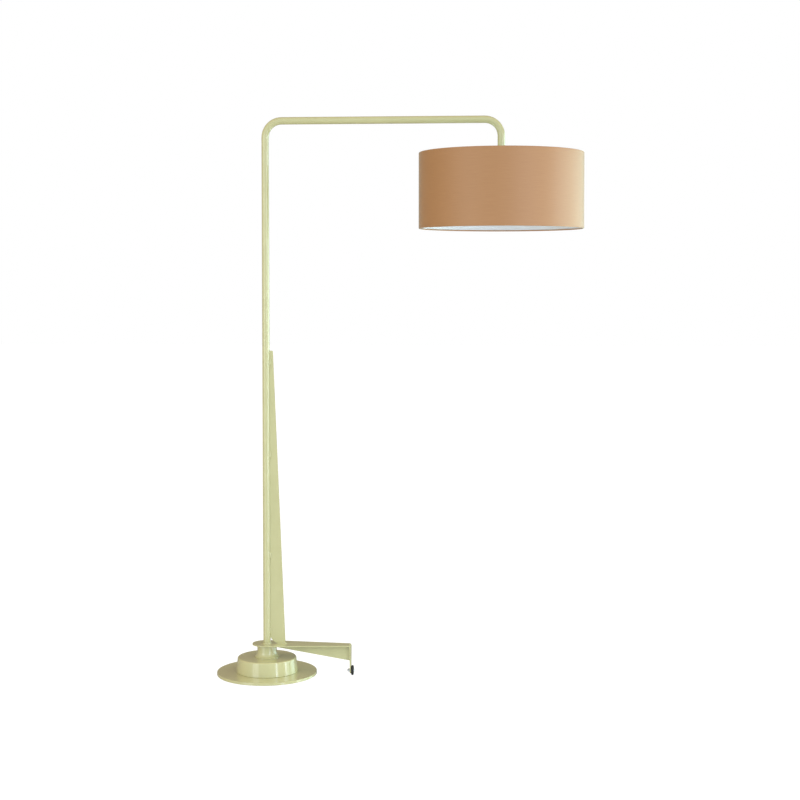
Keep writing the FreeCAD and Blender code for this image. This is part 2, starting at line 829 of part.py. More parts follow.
def shade_cover():
    return ring(shade_radius, shade_radius - fabric, bottom_ring_height, top_ring_height, reach)


def shade_lining():
    outer = shade_radius - fabric
    low = bottom_ring_height + lining_short
    return ring(outer, outer - lining, low, top_ring_height - lining_short, reach)


def round_wire(radius, angle, height, inward):
    """Radius and height of a point round a wire ring; angle 0 faces outwards, a quarter turn inward."""
    return ring_radius + radius * math.cos(angle), height + inward * radius * math.sin(angle)


def hem(height, inward):
    """Fabric rolled over a wire ring and tucked in behind it; inward is +1 for up, -1 for down."""
    full = 2 * math.pi
    to_lining = shade_radius - fabric - lining - ring_radius
    wire_side = ring_wire + hem_slack
    outer_end = math.acos(to_lining / roll_radius)
    inner_end = math.acos(to_lining / wire_side)
    corners = []
    for side in range(roll_sides + 1):
        corners.append(round_wire(roll_radius, (outer_end - full) * side / roll_sides, height, inward))
    for side in range(roll_sides + 1):
        angle = inner_end + (full - inner_end) * side / roll_sides
        corners.append(round_wire(wire_side, angle, height, inward))
    return turned(reach, *corners)


def shade_top_hem():
    return hem(top_ring_height, -1).cut(shade_carrier())


def shade_bottom_hem():
    return hem(bottom_ring_height, 1)


SUB_PARTS = (
    floor_pad, base_disc, access_plate, plate_screws, base_screws, base_weight, drum_cover, pivot_collar,
    upper_bush, lower_bush, thrust_washer, stop_screw, cord_grommet, terminal_block, terminal_screws,
    base_lead, mast_tube, mast_lead, mast_fin, fin_welds, foot_weld, fin_foot_weld, outrigger_plate,
    outrigger_web, web_welds, pivot_spindle, stop_dowel, spindle_washer, spindle_nut,
    wheel_tyre, wheel_hub, axle_sleeve, axle_washers, axle_bolt, axle_nut,
    tube_plug, holder_nipple, holder_cap, holder_sleeve, shade_ring_nut, holder_core, holder_contacts,
    bulb_cap, bulb_collar, bulb_glass,
    shade_carrier, shade_bottom_ring, shade_cover, shade_lining, shade_top_hem, shade_bottom_hem)

os.makedirs("parts", exist_ok=True)
for make in SUB_PARTS:
    shape = make()
    shape.exportStep("parts/" + make.__name__ + ".step")
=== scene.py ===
import json
import math

import bpy
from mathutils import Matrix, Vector


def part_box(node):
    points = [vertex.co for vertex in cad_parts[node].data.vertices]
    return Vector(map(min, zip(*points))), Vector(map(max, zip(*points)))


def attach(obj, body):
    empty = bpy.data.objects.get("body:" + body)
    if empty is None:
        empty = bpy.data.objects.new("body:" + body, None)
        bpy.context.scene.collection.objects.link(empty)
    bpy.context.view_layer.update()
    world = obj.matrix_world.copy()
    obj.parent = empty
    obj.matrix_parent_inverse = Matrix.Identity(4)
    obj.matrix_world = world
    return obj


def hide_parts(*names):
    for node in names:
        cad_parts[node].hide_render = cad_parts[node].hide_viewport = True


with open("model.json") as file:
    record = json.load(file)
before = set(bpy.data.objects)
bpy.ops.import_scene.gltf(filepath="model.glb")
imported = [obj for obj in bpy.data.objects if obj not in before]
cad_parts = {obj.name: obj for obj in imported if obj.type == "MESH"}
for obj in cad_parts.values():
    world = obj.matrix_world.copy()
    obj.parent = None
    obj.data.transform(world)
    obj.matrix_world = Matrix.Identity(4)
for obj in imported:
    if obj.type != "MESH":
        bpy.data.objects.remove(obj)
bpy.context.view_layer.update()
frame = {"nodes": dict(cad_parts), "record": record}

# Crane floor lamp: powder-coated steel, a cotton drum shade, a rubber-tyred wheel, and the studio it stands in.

scene = bpy.context.scene
MM = 0.001


# ---- where things are ----

def middle(node):
    """The middle of a CAD node's box."""
    low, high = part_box(node)
    return (low + high) / 2


cover_low, cover_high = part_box("shade_cover")
shade_axis = middle("shade_cover").x
shade_radius = (cover_high.x - cover_low.x) / 2
ring_low = cover_low.z              # heights of the two wire rings' centres
ring_high = cover_high.z
wire_low, wire_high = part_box("shade_bottom_ring")
wire_radius = (wire_high.z - wire_low.z) / 2
film_low, film_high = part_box("shade_lining")


# ---- camera ----

turn = 0.0746                       # radians, to the left
look_down = 0.0429                  # radians
aside = 0.49486                     # how far to the right of the base's axis the view passes
distance = 5.69174
eye_height = 1.4512
focal = 1.92904                     # in picture widths
shift_down = 0.06291                # of the frame, in picture widths

camera_data = bpy.data.cameras.new("camera")
camera = bpy.data.objects.new("camera", camera_data)
scene.collection.objects.link(camera)
scene.camera = camera
camera.location = (aside * math.cos(turn) + distance * math.sin(turn),
                   aside * math.sin(turn) - distance * math.cos(turn), eye_height)
camera.rotation_euler = (math.pi / 2 - look_down, 0, turn)
camera_data.sensor_width = 36
camera_data.lens = 36 * focal
camera_data.shift_y = -shift_down
camera_data.clip_end = 100


# ---- materials ----

def hex_colour(text):
    """An sRGB hex colour as the linear colour that shaders take."""
    linear = []
    for at in (0, 2, 4):
        c = int(text[at:at + 2], 16) / 255
        linear.append(c / 12.92 if c <= 0.04045 else ((c + 0.055) / 1.055) ** 2.4)
    return (*linear, 1.0)


def add(tree, kind, settings=None, links=()):
    """Adds a shader node: settings are its options and socket values, links are (socket, node, output)."""
    made = tree.nodes.new("ShaderNode" + kind)
    for key, value in (settings or {}).items():
        if isinstance(key, int) or key in made.inputs:
            made.inputs[key].default_value = value
        else:
            setattr(made, key, value)
    for socket, source, output in links:
        tree.links.new(source.outputs[output], made.inputs[socket])
    return made


def finish(name, colour, settings):
    """A material with one shader, ready for its pattern; gives the material, its tree and the shader."""
    material = bpy.data.materials.new(name)
    material.use_nodes = True
    tree = material.node_tree
    tree.nodes.clear()
    shader = add(tree, "BsdfPrincipled", {"Base Color": hex_colour(colour), **settings})
    add(tree, "OutputMaterial", {}, [("Surface", shader, "BSDF")])
    return material, tree, shader


def per_mm(size):
    """Pattern scale, in metres, for a feature of that many millimetres."""
    return 1000.0 / size


def relief(tree, shader, height, output, depth_mm, strength=1.0):
    """Bumps on the shader from a height pattern of that many millimetres."""
    bump = add(tree, "Bump", {"Strength": strength, "Distance": depth_mm * MM}, [("Height", height, output)])
    tree.links.new(bump.outputs["Normal"], shader.inputs["Normal"])


def powder_coat():
    """Gloss polyester powder coat, sprayed and baked on steel.

    It flows out to a glossy skin over a soft satin body, with a fine orange peel about 2 mm across.
    """
    material, tree, shader = finish("gloss_powder_coat", "bbb986", {
        "Roughness": 0.35, "IOR": 1.5, "Coat Weight": 1.0, "Coat Roughness": 0.035})
    place = add(tree, "TexCoord")
    peel = add(tree, "TexNoise", {"Scale": per_mm(2.2), "Detail": 2.0, "Roughness": 0.45},
               [("Vector", place, "Object")])
    cloud = add(tree, "TexNoise", {"Scale": per_mm(90), "Detail": 3.0}, [("Vector", place, "Object")])
    tone = add(tree, "ValToRGB", {}, [("Fac", cloud, "Fac")])
    tone.color_ramp.elements[0].color = hex_colour("b9b784")
    tone.color_ramp.elements[0].position = 0.35
    tone.color_ramp.elements[1].color = hex_colour("bdbb88")
    tone.color_ramp.elements[1].position = 0.65
    tree.links.new(tone.outputs["Color"], shader.inputs["Base Color"])
    haze = add(tree, "MapRange", {"To Min": 0.3, "To Max": 0.38}, [("Value", cloud, "Fac")])
    tree.links.new(haze.outputs["Result"], shader.inputs["Roughness"])
    relief(tree, shader, peel, "Fac", 0.015, 0.5)
    return material


def satin_cotton():
    """Satin-weave cotton laminated to the lining: close, smooth threads with a soft sheen at grazing light."""
    material, tree, shader = finish("satin_cotton", "a2713d", {
        "Roughness": 0.56, "Specular IOR Level": 1.0, "Sheen Weight": 0.5, "Sheen Roughness": 0.3,
        "Sheen Tint": (0.7, 1.0, 0.95, 1.0)})
    cloth = add(tree, "UVMap", {"uv_map": "cloth"})
    # The threads lie 0.25 mm apart; they are drawn 1.58 mm apart so that they show. A wave node draws a band for
    # every tau / 20 of its scaled coordinate.
    threads = per_mm(1.58) * math.tau / 20
    warp = add(tree, "TexWave", {"wave_type": "BANDS", "bands_direction": "X", "Scale": threads,
                                 "Distortion": 0.6, "Detail": 1.0, "Detail Scale": 2.0}, [("Vector", cloth, "UV")])
    weft = add(tree, "TexWave", {"wave_type": "BANDS", "bands_direction": "Y", "Scale": threads,
                                 "Distortion": 0.9, "Detail": 1.0, "Detail Scale": 2.0}, [("Vector", cloth, "UV")])
    weave = add(tree, "Math", {"operation": "MULTIPLY"}, [(0, warp, "Fac"), (1, weft, "Fac")])
    # Slubs: threads a little darker or lighter for 60 mm or so along the weft.
    slub_place = add(tree, "Mapping", {"Scale": (per_mm(60), per_mm(1.6), 1.0)}, [("Vector", cloth, "UV")])
    slub = add(tree, "TexNoise", {"Scale": 1.0, "Detail": 3.0}, [("Vector", slub_place, "Vector")])
    tone = add(tree, "ValToRGB", {}, [("Fac", slub, "Fac")])
    tone.color_ramp.elements[0].color = hex_colour("9f6e3a")
    tone.color_ramp.elements[0].position = 0.3
    tone.color_ramp.elements[1].color = hex_colour("a57540")
    tone.color_ramp.elements[1].position = 0.7
    tree.links.new(tone.outputs["Color"], shader.inputs["Base Color"])
    relief(tree, shader, weave, "Value", 0.08, 0.35)
    return material


def lining_film():
    """White translucent PVC film, extruded and cut to size: faintly glossy, with a slight cloudiness."""
    material, tree, shader = finish("white_lining_film", "dbe0e3", {"Roughness": 0.42, "IOR": 1.53})
    place = add(tree, "TexCoord")
    cloud = add(tree, "TexNoise", {"Scale": per_mm(25), "Detail": 3.0}, [("Vector", place, "Object")])
    tone = add(tree, "ValToRGB", {}, [("Fac", cloud, "Fac")])
    tone.color_ramp.elements[0].color = hex_colour("d8dee1")
    tone.color_ramp.elements[1].color = hex_colour("dee3e6")
    tree.links.new(tone.outputs["Color"], shader.inputs["Base Color"])
    relief(tree, shader, cloud, "Fac", 0.05, 0.2)
    return material


def plain_finish(name, colours, grain_mm, depth_mm, roughness, settings, stretch=(1.0, 1.0, 1.0)):
    """A material whose colour, gloss and relief follow one fine grain."""
    material, tree, shader = finish(name, colours[0], settings)
    place = add(tree, "TexCoord")
    spread = add(tree, "Mapping", {"Scale": stretch}, [("Vector", place, "Object")])
    grain = add(tree, "TexNoise", {"Scale": per_mm(grain_mm), "Detail": 4.0}, [("Vector", spread, "Vector")])
    tone = add(tree, "ValToRGB", {}, [("Fac", grain, "Fac")])
    tone.color_ramp.elements[0].color = hex_colour(colours[0])
    tone.color_ramp.elements[0].position = 0.3
    tone.color_ramp.elements[1].color = hex_colour(colours[1])
    tone.color_ramp.elements[1].position = 0.7
    tree.links.new(tone.outputs["Color"], shader.inputs["Base Color"])
    gloss = add(tree, "MapRange", {"To Min": roughness[0], "To Max": roughness[1]}, [("Value", grain, "Fac")])
    tree.links.new(gloss.outputs["Result"], shader.inputs["Roughness"])
    relief(tree, shader, grain, "Fac", depth_mm)
    return material


FINISHES = {
    "powder_coat": powder_coat(),
    "shade_fabric": satin_cotton(),
    "shade_film": lining_film(),
    # Plastic-dipped steel wire: smooth, with a soft gloss.
    "white_wire": plain_finish("white_dipped_wire", ("dfdfda", "e8e8e4"), 6, 0.02, (0.35, 0.45), {}),
    # Moulded rubber, matt, with the fine pitting that the mould leaves.
    "tyre_rubber": plain_finish("black_moulded_rubber", ("111111", "1b1b1a"), 1.2, 0.03, (0.6, 0.8), {}),
    # Injection-moulded black nylon: satin, with a light spark-eroded grain.
    "wheel_nylon": plain_finish("black_moulded_nylon", ("161616", "1f1f20"), 0.8, 0.015, (0.38, 0.5), {}),
    # Bright zinc plate on turned and pressed steel: clean grey metal with faint marks of the tool.
    "zinc_steel": plain_finish("bright_zinc_plate", ("b9bcbf", "cdd0d2"), 1.5, 0.01, (0.22, 0.38), {"Metallic": 1.0}),
    # Turned steel left bare: fine rings round the axis.
    "turned_steel": plain_finish("turned_steel", ("9a9a99", "b4b4b2"), 0.9, 0.01, (0.2, 0.34), {"Metallic": 1.0},
                                 (0.3, 0.3, 4.0)),
    # Grey iron as cast in sand: dark and rough.
    "cast_iron": plain_finish("cast_iron", ("2e2d2c", "454341"), 1.8, 0.2, (0.6, 0.85), {"Metallic": 0.7}),
    # Sintered bronze, soaked in oil: dull and slightly porous.
    "bronze": plain_finish("sintered_bronze", ("8f6a3c", "a87f4b"), 0.7, 0.03, (0.4, 0.6), {"Metallic": 1.0}),
    # Acetal turned from bar: creamy and waxy.
    "acetal": plain_finish("machined_acetal", ("dbd9d0", "e3e1d9"), 1.5, 0.01, (0.35, 0.45), {}),
    # Pressed wool felt: short fibres lying every way.
    "felt": plain_finish("pressed_felt", ("24231f", "3a3833"), 1.1, 0.5, (0.9, 1.0), {"Sheen Weight": 0.4}),
    # Soft rubber round the cord's hole, moulded: dull black.
    "grommet_rubber": plain_finish("soft_grommet_rubber", ("141414", "1e1e1d"), 1.0, 0.02, (0.5, 0.7), {}),
    # Polyamide of the terminal block, moulded: off-white and half matt.
    "terminal_plastic": plain_finish("moulded_polyamide", ("dedcd4", "e6e4dd"), 0.8, 0.01, (0.45, 0.55), {}),
    # Brass, cut from bar and pressed from strip: bright yellow metal with the cutter's fine marks.
    "brass": plain_finish("cut_brass", ("c2984d", "d3ab60"), 0.8, 0.01, (0.25, 0.4), {"Metallic": 1.0}),
    # PVC sheath, extruded over the wires: smooth and matt.
    "lead_sheath": plain_finish("extruded_sheath", ("cfcdc7", "dad8d2"), 2.0, 0.02, (0.45, 0.6), {}),
    # Thermoplastic polyester of the lamp holder: satin white with a fine moulding grain.
    "holder_plastic": plain_finish("moulded_thermoplastic", ("d9d8d2", "e2e1dc"), 0.7, 0.012, (0.35, 0.48), {}),
    # Glazed steatite inside the holder, pressed and fired: white with a wet-looking gloss.
    "holder_ceramic": plain_finish("glazed_steatite", ("e2dfd6", "ebe9e2"), 3.0, 0.02, (0.12, 0.25), {}),
    # Polycarbonate collar of the bulb, moulded: smooth white plastic with a satin gloss.
    "bulb_plastic": plain_finish("moulded_polycarbonate", ("e4e3df", "ebebe8"), 1.0, 0.01, (0.3, 0.4), {}),
    # Nickel-plated brass of the bulb's screw cap, rolled from sheet: warm silver and fairly sharp.
    "bulb_nickel": plain_finish("nickel_plate", ("bdbab3", "cfccc6"), 1.0, 0.01, (0.18, 0.3), {"Metallic": 1.0}),
    # Opal glass, blown and coated white inside: milky, with a clear gloss.
    "opal_glass": plain_finish("opal_glass", ("eeede8", "f4f3f0"), 12, 0.01, (0.08, 0.14), {
        "IOR": 1.5, "Subsurface Weight": 0.25, "Subsurface Radius": (0.01, 0.01, 0.01)}),
}

for part in frame["record"]["subparts"]:
    for slot in frame["nodes"][part["node"]].material_slots:
        slot.material = FINISHES[part["material_slot"]]


# ---- modelling helpers ----

def begin(primitive, name, **settings):
    """Adds a primitive with nothing else selected, and names it."""
    if bpy.context.object and bpy.context.object.mode != "OBJECT":
        bpy.ops.object.mode_set(mode="OBJECT")
    bpy.ops.object.select_all(action="DESELECT")
    primitive(**settings)
    piece = bpy.context.object
    piece.name = name
    piece.data.name = name
    return piece


def edit(piece, select="SELECT"):
    """Opens one piece in edit mode, in vertex selection, with all of it selected or nothing."""
    bpy.ops.object.mode_set(mode="OBJECT")
    bpy.ops.object.select_all(action="DESELECT")
    piece.select_set(True)
    bpy.context.view_layer.objects.active = piece
    bpy.ops.object.mode_set(mode="EDIT")
    bpy.ops.mesh.select_mode(type="VERT")
    bpy.ops.mesh.select_all(action=select)


def modify(piece, kind, **settings):
    """Adds a modifier and applies it."""
    bpy.ops.object.mode_set(mode="OBJECT")
    modifier = piece.modifiers.new(kind.lower(), kind)
    for key, value in settings.items():
        setattr(modifier, key, value)
    bpy.ops.object.modifier_apply(modifier=modifier.name)


def complete(piece, body, slot, replaced=(), smooth=40):
    """Puts the piece's place in its mesh, shades it, gives it its body and finish, and hides the nodes it stands for.
    """
    bpy.ops.object.mode_set(mode="OBJECT")
    bpy.ops.object.select_all(action="DESELECT")
    piece.select_set(True)
    bpy.context.view_layer.objects.active = piece
    bpy.ops.object.transform_apply(location=True, rotation=True, scale=True)
    bpy.ops.object.shade_smooth_by_angle(angle=math.radians(smooth))
    piece.data.materials.clear()
    piece.data.materials.append(FINISHES[slot])
    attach(piece, body)
    if replaced:
        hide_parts(*replaced)
    return piece


def turned(name, x, profile, steps, part_turn=math.tau, start_at=0.0, closed=False):
    """Draws a profile of radius and height one vertex at a time, then spins it about the upright axis at x."""
    radius, height = profile[0]
    out = Vector((math.cos(start_at), math.sin(start_at), 0))
    piece = begin(bpy.ops.mesh.primitive_plane_add, name, size=MM, location=(x, 0, 0))
    edit(piece)
    bpy.ops.mesh.merge(type="CENTER")
    bpy.ops.transform.translate(value=out * radius + Vector((0, 0, height)))
    for (r0, z0), (r1, z1) in zip(profile, profile[1:]):
        step = out * (r1 - r0) + Vector((0, 0, z1 - z0))
        bpy.ops.mesh.extrude_region_move(TRANSFORM_OT_translate={"value": step})
    bpy.ops.mesh.select_all(action="SELECT")
    if closed:
        bpy.ops.mesh.edge_face_add()
        bpy.ops.mesh.delete(type="ONLY_FACE")
        bpy.ops.mesh.select_all(action="SELECT")
    bpy.ops.mesh.spin(steps=steps, angle=part_turn, center=(x, 0, 0), axis=(0, 0, 1))
    bpy.ops.mesh.select_all(action="SELECT")
    bpy.ops.mesh.remove_doubles(threshold=0.002 * MM)
    bpy.ops.mesh.normals_make_consistent(inside=False)
    return piece


def mm_profile(*points):
    """A profile given in millimetres."""
    return [(radius * MM, height * MM) for radius, height in points]


def sector(place, sectors):
    """Which of the equal sectors round the axis a place lies in."""
    return int((math.atan2(place.y, place.x) / math.tau + 1) * sectors)


def pick_faces(piece, wanted):
    """Leaves selected, in edit mode, the faces that wanted(place, normal) takes, in the piece's own coordinates."""
    edit(piece, "DESELECT")
    bpy.ops.mesh.select_mode(type="FACE")
    bpy.ops.object.mode_set(mode="OBJECT")
    for face in piece.data.polygons:
        face.select = wanted(face.center, face.normal)
    bpy.ops.object.mode_set(mode="EDIT")


def join(name, pieces):
    """Makes one piece of several."""
    bpy.ops.object.mode_set(mode="OBJECT")
    bpy.ops.object.select_all(action="DESELECT")
    for piece in pieces:
        piece.select_set(True)
    bpy.context.view_layer.objects.active = pieces[0]
    bpy.ops.object.join()
    pieces[0].name = name
    pieces[0].data.name = name
    return pieces[0]


# ---- shade ----

cloth_thick = 0.7 * MM
film_thick = 0.5 * MM
roll = wire_radius + cloth_thick / 2                   # cloth's middle round the wire
roll_turn = math.radians(288)                          # how far the cloth goes round it
wire_circle = shade_radius - wire_radius - cloth_thick
wall_middle = shade_radius - cloth_thick / 2
wall_rows = 24
shade_sectors = 192
seam_at = math.radians(89)                             # at the back
seam_width = 12 * MM


def cloth_map(piece, x):
    """A map in metres for the weave: round the drum and up it."""
    layer = piece.data.uv_layers.new(name="cloth")
    vertices = piece.data.vertices
    for face in piece.data.polygons:
        around = [math.atan2(vertices[i].co.y, vertices[i].co.x - x) for i in face.vertices]
        wraps = max(around) - min(around) > math.pi
        for loop, i, angle in zip(face.loop_indices, face.vertices, around):
            if wraps and angle < 0:
                angle += math.tau
            layer.data[loop].uv = (angle * shade_radius, vertices[i].co.z)


def hem_profile(height, inward):
    """The cloth's middle line from the wall, over the wire, to where it is tucked in behind it."""
    points = []
    steps = 16
    for k in range(steps + 1):
        angle = -roll_turn * k / steps
        points.append((wire_circle + roll * math.cos(angle), height + inward * roll * math.sin(angle)))
    return points


wall = [(wall_middle, ring_low + (ring_high - ring_low) * k / wall_rows) for k in range(1, wall_rows)]
cover = turned("shade_cloth", shade_axis,
               hem_profile(ring_low, 1)[::-1] + wall + hem_profile(ring_high, -1), shade_sectors, start_at=seam_at)
modify(cover, "SOLIDIFY", thickness=cloth_thick, offset=0.0, use_even_offset=True)
complete(cover, "mast", "shade_fabric", ("shade_cover", "shade_top_hem", "shade_bottom_hem"), 60)
cloth_map(cover, shade_axis)

lap_radius = shade_radius + cloth_thick / 2
lap_turn = seam_width / shade_radius
lap = turned("shade_seam", shade_axis, [(lap_radius, ring_low), (lap_radius, ring_high)], 4, lap_turn,
             seam_at - lap_turn / 2)
bpy.ops.mesh.subdivide(number_cuts=3)
modify(lap, "SOLIDIFY", thickness=cloth_thick, offset=0.0)
complete(lap, "mast", "shade_fabric")
cloth_map(lap, shade_axis)

film_radius = shade_radius - cloth_thick - film_thick / 2
film = turned("shade_film", shade_axis, [(film_radius, film_low.z), (film_radius, film_high.z)], shade_sectors)
modify(film, "SOLIDIFY", thickness=film_thick, offset=0.0)
complete(film, "mast", "shade_film", ("shade_lining",))

up = ring_high - ring_low + 2 * roll * roll_turn


# ---- welds ----

fin_low, fin_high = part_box("mast_fin")
fin_side = fin_high.y
tube_radius = -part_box("mast_tube")[0].x
weld_ripple = 1.8 * MM              # between a bead's ripples
ripple_waist = 0.78                 # how thin the bead gets between them
stitch = 4 * MM                     # radii of the beads
fin_foot = 3.3 * MM
web_bead = 2.4 * MM
stitch_gap = 40 * MM                # stitches lie further apart than this


def spans(node, axis, low, high):
    """Where the node's separate lumps begin and end along an axis, between two heights."""
    solid = frame["nodes"][node]
    points = [solid.matrix_world @ vertex.co for vertex in solid.data.vertices]
    found = []
    for value in sorted(point[axis] for point in points if low <= point.z <= high):
        if not found or value - found[-1][1] > stitch_gap:
            found.append([value, value])
        found[-1][1] = value
    return found


def bead(radius, start, end, drawn):
    """One run of weld between two points; runs of the same size are copies of the first."""
    length = (end - start).length
    size = (round(radius / MM, 2), round(length / MM, 1))
    if size not in drawn:
        ripples = 2 * round(length / weld_ripple)
        profile = [(0, -length / 2)]
        for k in range(1, ripples):
            z = length * (k / ripples - 0.5)
            rounded = min(1.0, math.sqrt((length / 2 - abs(z)) / radius))
            profile.append((radius * rounded * (1.0 if k % 2 else ripple_waist), z))
        drawn[size] = turned("weld_bead", 0, profile + [(0, length / 2)], 16)
        modify(drawn[size], "SUBSURF", levels=1, render_levels=1)
        made = drawn[size]
    else:
        made = drawn[size].copy()
        made.data = drawn[size].data.copy()
        scene.collection.objects.link(made)
    made.location = (start + end) / 2
    made.rotation_euler = (end - start).to_track_quat("Z", "Y").to_euler()
    return made


# Stitches in the corner between tube and fin, on both sides.
drawn = {}
corner = tube_radius + 1.2 * MM
beads = [bead(stitch, Vector((corner, side * (fin_side + 0.7 * MM), low)),
              Vector((corner, side * (fin_side + 0.7 * MM), high)), drawn)
         for low, high in spans("fin_welds", 2, 0, 2) for side in (-1, 1)]
complete(join("fin_weld_beads", beads), "mast", "powder_coat", ("fin_welds",), 60)

# Along both sides of the fin's foot and across its end.
foot_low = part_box("fin_foot_weld")[0]
drawn = {}
near = Vector((foot_low.x, fin_side + 1.1 * MM, foot_low.z + 1.1 * MM))
far = Vector((fin_high.x + 1 * MM, near.y, near.z))
other_side = Vector((1, -1, 1))
past = Vector((0, 2 * MM, 0))
beads = [bead(fin_foot, near, far, drawn), bead(fin_foot, near * other_side, far * other_side, drawn),
         bead(fin_foot, far * other_side - past, far + past, drawn)]
complete(join("fin_foot_beads", beads), "mast", "powder_coat", ("fin_foot_weld",), 60)

# Stitches under the plate, and one down the leg, on both sides of the web.
web_low, web_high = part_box("web_welds")
web_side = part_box("outrigger_web")[1].y
under = web_high.z - 0.6 * MM
beside = web_high.x - 0.6 * MM
down_leg = 35 * MM
drawn = {}
beads = []
for side in (-1, 1):
    across = side * (web_side + 0.6 * MM)
    beads += [bead(web_bead, Vector((low, across, under)), Vector((high, across, under)), drawn)
              for low, high in spans("web_welds", 0, web_high.z - 5 * MM, web_high.z)]
    beads.append(bead(web_bead, Vector((beside, across, web_low.z)),
                      Vector((beside, across, web_low.z + down_leg)), drawn))
complete(join("web_weld_beads", beads), "mast", "powder_coat", ("web_welds",), 60)

# All round the tube's foot: every second section of the ring is drawn in for the ripples.
ring_ripples = 54
foot_bead = begin(bpy.ops.mesh.primitive_torus_add, "foot_weld_bead", major_segments=2 * ring_ripples,
                  minor_segments=14, major_radius=tube_radius + 1.4 * MM, minor_radius=3.2 * MM,
                  location=(0, 0, fin_low.z + 1.1 * MM))
edit(foot_bead, "DESELECT")
bpy.ops.object.mode_set(mode="OBJECT")
for vertex in foot_bead.data.vertices:
    step = round(math.atan2(vertex.co.y, vertex.co.x) / math.pi * ring_ripples)
    vertex.select = step % 2 == 0
bpy.ops.object.mode_set(mode="EDIT")
bpy.ops.transform.shrink_fatten(value=-0.7 * MM)
modify(foot_bead, "SUBSURF", levels=1, render_levels=1)
complete(foot_bead, "mast", "powder_coat", ("foot_weld",), 60)


# ---- wheel ----

def around_axle(piece):
    """Turns a piece drawn upright at the origin onto the wheel's axle, which lies along X."""
    bpy.ops.object.mode_set(mode="OBJECT")
    piece.rotation_euler = (0, math.pi / 2, 0)
    piece.location = middle("wheel_tyre")


# Rounded tread with two shallow grooves, and the fine line where the two halves of the mould met.
tyre = turned("tyre", 0, mm_profile(
    (12.5, -3.9), (13.1, -4.0), (15.1, -4.0), (16.5, -3.7), (17.6, -3.0), (18.1, -2.2), (18.15, -1.9), (17.6, -1.7),
    (17.6, -1.2), (18.25, -1.0), (18.35, -0.25), (18.5, -0.1), (18.5, 0.1), (18.35, 0.25), (18.25, 1.0), (17.6, 1.2),
    (17.6, 1.7), (18.15, 1.9), (18.1, 2.2), (17.6, 3.0), (16.5, 3.7), (15.1, 4.0), (13.1, 4.0), (12.5, 3.9)),
    96, closed=True)
around_axle(tyre)
complete(tyre, "wheel", "tyre_rubber", ("wheel_tyre",), 35)

# Boss, dish and rim, with six ribs a side across the dish.
hub_sectors = 96
hub = turned("hub", 0, mm_profile(
    (5.1, -4.1), (7.0, -4.1), (7.2, -3.9), (7.2, -2.5), (10.7, -2.5), (10.7, -3.9), (10.9, -4.1), (12.5, -4.1),
    (12.5, 4.1), (10.9, 4.1), (10.7, 3.9), (10.7, 2.5), (7.2, 2.5), (7.2, 3.9), (7.0, 4.1), (5.1, 4.1)),
    hub_sectors, closed=True)
for side in (-1, 1):
    pick_faces(hub, lambda place, normal: normal.z * side > 0.9 and 7.5 * MM < place.xy.length < 10 * MM
               and sector(place, hub_sectors) % 16 < 2)
    bpy.ops.mesh.extrude_region_move(TRANSFORM_OT_translate={"value": (0, 0, side * 1.2 * MM)})
around_axle(hub)
complete(hub, "wheel", "wheel_nylon", ("wheel_hub",), 30)


# ---- lamp holder ----

nut_low, nut_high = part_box("shade_ring_nut")
sleeve_low, sleeve_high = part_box("holder_sleeve")
holder_radius = (sleeve_high.x - sleeve_low.x) / 2
nut_radius = (nut_high.x - nut_low.x) / 2
nut_sectors = 120
between_ribs = nut_radius - 0.8 * MM
chamfer = 0.5 * MM
nut_edge = between_ribs - chamfer
plain_edge = 1.2 * MM               # below and above the ribs
nut = turned("ring_nut", shade_axis, [
    (holder_radius, nut_low.z), (nut_edge, nut_low.z), (between_ribs, nut_low.z + chamfer),
    (between_ribs, nut_low.z + plain_edge), (between_ribs, nut_high.z - plain_edge),
    (between_ribs, nut_high.z - chamfer), (nut_edge, nut_high.z), (holder_radius, nut_high.z)],
    nut_sectors, closed=True)
pick_faces(nut, lambda place, normal: abs(normal.z) < 0.1 and abs(place.z - middle("shade_ring_nut").z) < 2.7 * MM
           and place.xy.length > nut_radius - 1.2 * MM and sector(place, nut_sectors) % 4 < 2)
bpy.ops.mesh.extrude_region_shrink_fatten(TRANSFORM_OT_shrink_fatten={"value": 0.75 * MM})
complete(nut, "mast", "holder_plastic", ("shade_ring_nut",), 30)

# The sleeve's outside thread for the nut, between two plain rims.
thread_pitch = 2.3 * MM
thread_wall = 0.6 * MM
rim = 2.0 * MM
turns = int((sleeve_high.z - sleeve_low.z - 2 * rim) / thread_pitch) - 1
thread_start = sleeve_low.z + rim
thread = begin(bpy.ops.mesh.primitive_plane_add, "holder_thread", size=MM, location=(shade_axis, 0, thread_start))
edit(thread)
bpy.ops.mesh.merge(type="CENTER")
bpy.ops.transform.translate(value=(holder_radius - 0.7 * MM, 0, 0))
for out, up in ((0, 0.25), (0.6, 0.25), (0, 0.25), (-0.6, 0.25)):
    bpy.ops.mesh.extrude_region_move(TRANSFORM_OT_translate={"value": (out * MM, 0, up * thread_pitch)})
modify(thread, "SCREW", angle=math.tau, screw_offset=thread_pitch, iterations=turns, steps=48, render_steps=48,
       use_merge_vertices=True, merge_threshold=0.01 * MM)
edit(thread)
bpy.ops.mesh.normals_make_consistent(inside=False)
modify(thread, "SOLIDIFY", thickness=thread_wall, offset=1.0)
rims = [turned("sleeve_rim", shade_axis, [
    (holder_radius - 1.4 * MM, low), (holder_radius - 0.2 * MM, low), (holder_radius, low + 0.2 * MM),
    (holder_radius, high - 0.2 * MM), (holder_radius - 0.2 * MM, high), (holder_radius - 1.4 * MM, high)],
    96, closed=True)
    for low, high in ((sleeve_low.z, thread_start + thread_pitch / 2),
                      (thread_start + (turns - 0.5) * thread_pitch, sleeve_high.z))]
complete(join("holder_thread", [thread] + rims), "mast", "holder_plastic", ("holder_sleeve",), 35)


# ---- studio ----

